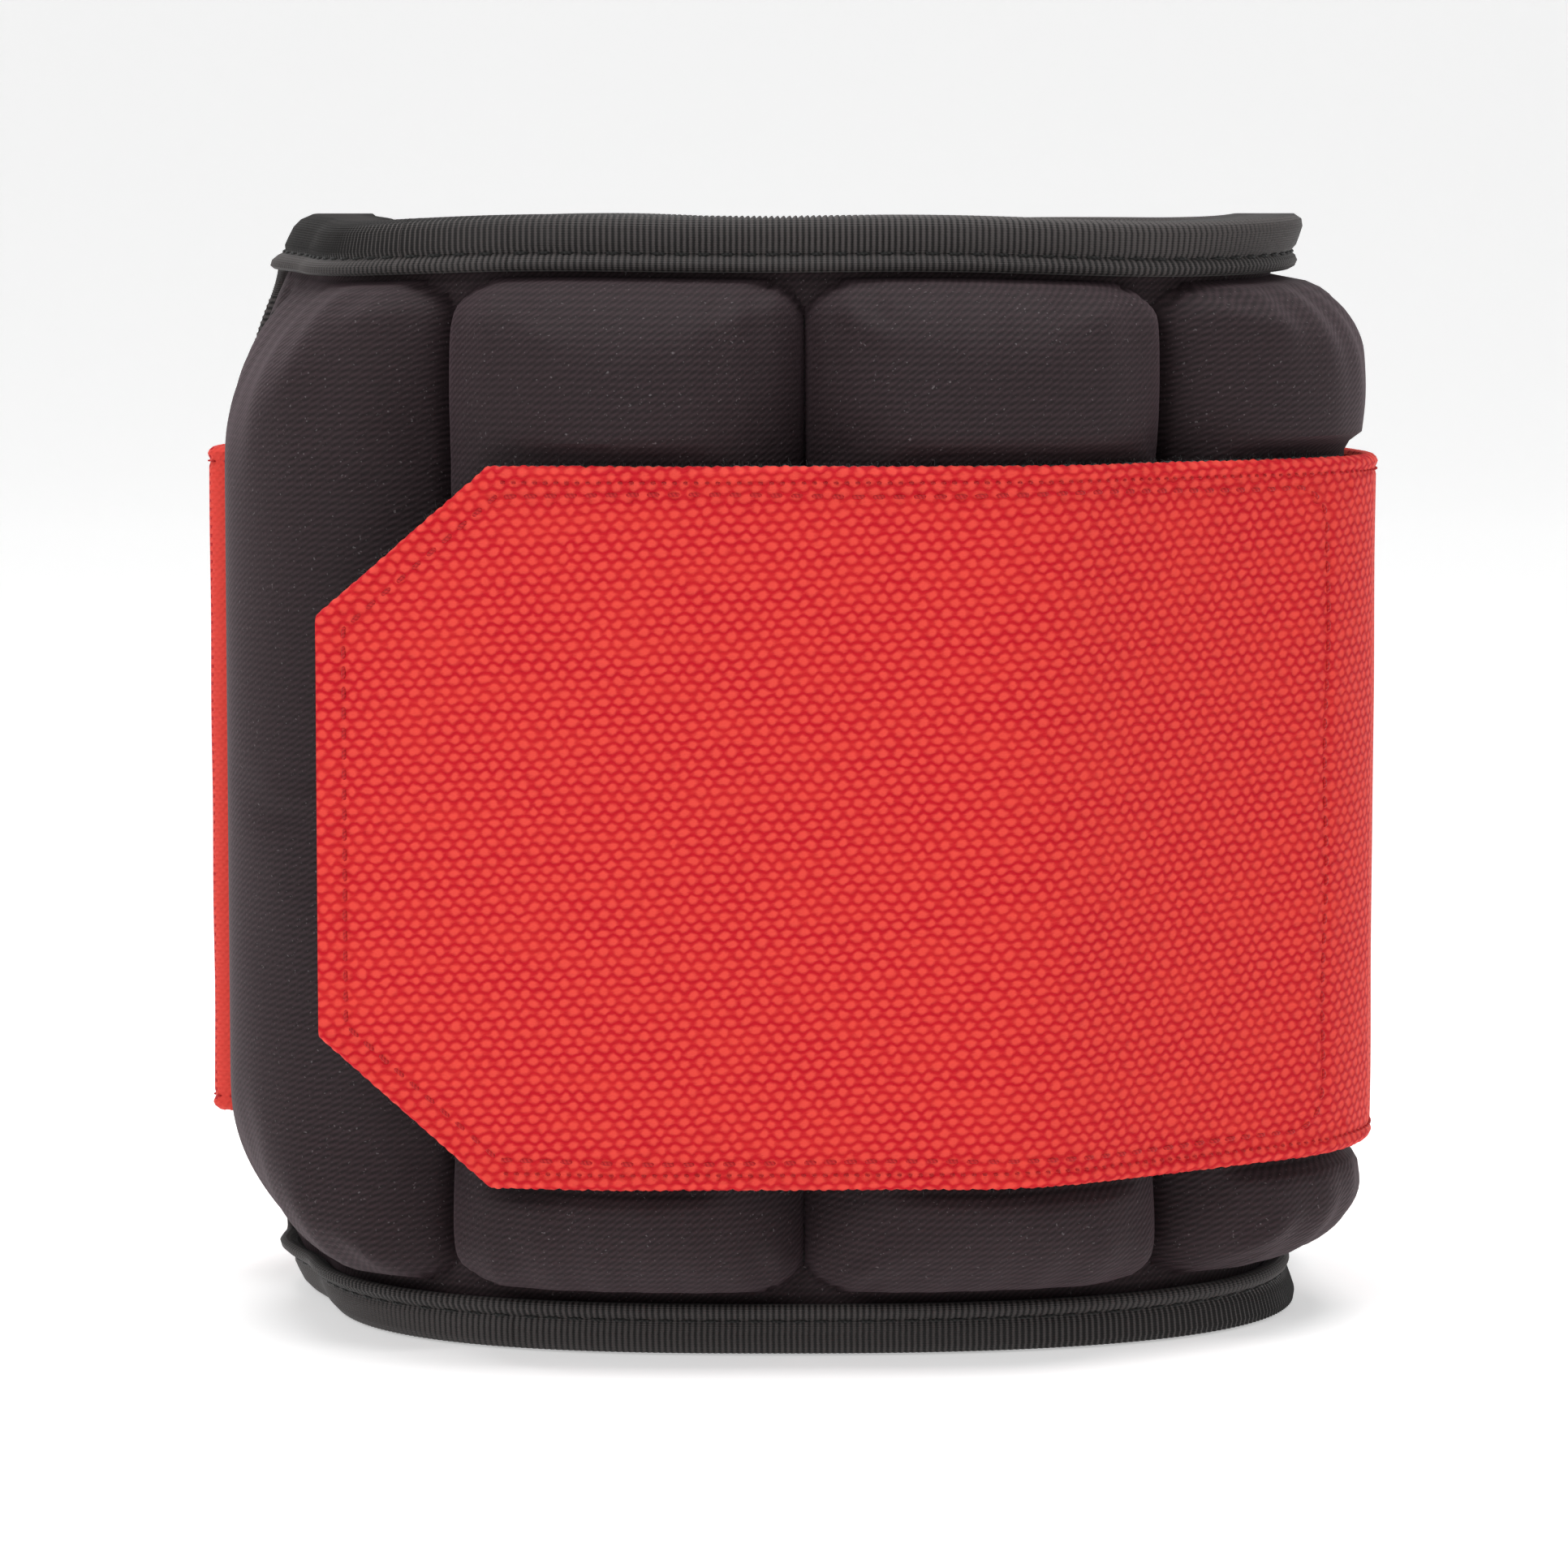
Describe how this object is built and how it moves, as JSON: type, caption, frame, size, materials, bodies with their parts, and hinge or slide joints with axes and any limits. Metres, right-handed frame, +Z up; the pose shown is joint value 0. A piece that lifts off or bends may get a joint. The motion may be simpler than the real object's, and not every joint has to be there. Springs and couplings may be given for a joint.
{
  "type": "ankle cuff weight",
  "caption": "Weighted neoprene ankle cuff with padded iron-filled channels, a slotted outer flap, an inner tongue and an elastic hook strap that closes round it.",
  "frame": {"origin": "on the ground, in the middle of the standing cuff's outline", "axes": "+Z up along the leg, -Y towards the front where the strap's tab lies, +X to the right seen from the front"},
  "size_m": [0.1288, 0.1014, 0.12],
  "materials": {
    "neoprene": "charcoal jersey-faced neoprene with fine ribs, matt",
    "lining": "crimson jersey-faced neoprene with a slight sheen",
    "tape": "black ribbed binding tape with a corded edge",
    "elastic": "bright red woven elastic webbing, matt",
    "hook": "black hook-and-loop tape with short curly pile",
    "pouch": "plain grey woven inner bag",
    "iron": "dark iron granules"
  },
  "bodies": {
    "root": {"outer_cover_2": "neoprene", "weight_pouch_2": "pouch", "iron_fill_2": "iron", "outer_cover_3": "neoprene", "weight_pouch_3": "pouch", "iron_fill_3": "iron", "outer_cover_4": "neoprene", "weight_pouch_4": "pouch", "iron_fill_4": "iron", "outer_cover_5": "neoprene", "weight_pouch_5": "pouch", "iron_fill_5": "iron", "outer_cover_6": "neoprene", "weight_pouch_6": "pouch", "iron_fill_6": "iron", "outer_cover_7": "neoprene", "weight_pouch_7": "pouch", "iron_fill_7": "iron", "body_lining": "lining", "top_binding": "tape", "bottom_binding": "tape", "strap_root": "elastic", "strap_back": "elastic"},
    "outer_flap": {"outer_cover_1": "neoprene", "weight_pouch_1": "pouch", "iron_fill_1": "iron", "flap_end_panel": "neoprene", "flap_lining": "lining", "flap_loop_patch": "hook", "slot_facing": "tape", "flap_binding": "tape", "strap_slot_turn": "elastic"},
    "tongue": {"tongue_cover": "neoprene", "tongue_lining": "lining", "tongue_binding": "tape"},
    "strap_side": {"strap_side": "elastic"},
    "strap_tab": {"strap_tab": "elastic", "tab_hook_patch": "hook"}
  },
  "joints": [
    {"name": "outer_flap_open", "type": "hinge", "parent": "root", "child": "outer_flap", "pos_m": [-0.03562, -0.03471, 0.06], "axis": [0, 0, 1], "range_deg": [0, 30]},
    {"name": "tongue_flex", "type": "hinge", "parent": "root", "child": "tongue", "pos_m": [-0.03729, 0.02142, 0.06], "axis": [0, 0, 1], "range_deg": [0, 30]},
    {"name": "strap_side_peel", "type": "hinge", "parent": "root", "child": "strap_side", "pos_m": [0.05082, 0.03581, 0.057], "axis": [0, 0, 1], "range_deg": [0, 90]},
    {"name": "strap_tab_peel", "type": "hinge", "parent": "strap_side", "child": "strap_tab", "pos_m": [0.06239, -0.02087, 0.057], "axis": [0, 0, 1], "range_deg": [0, 110]}
  ]
}
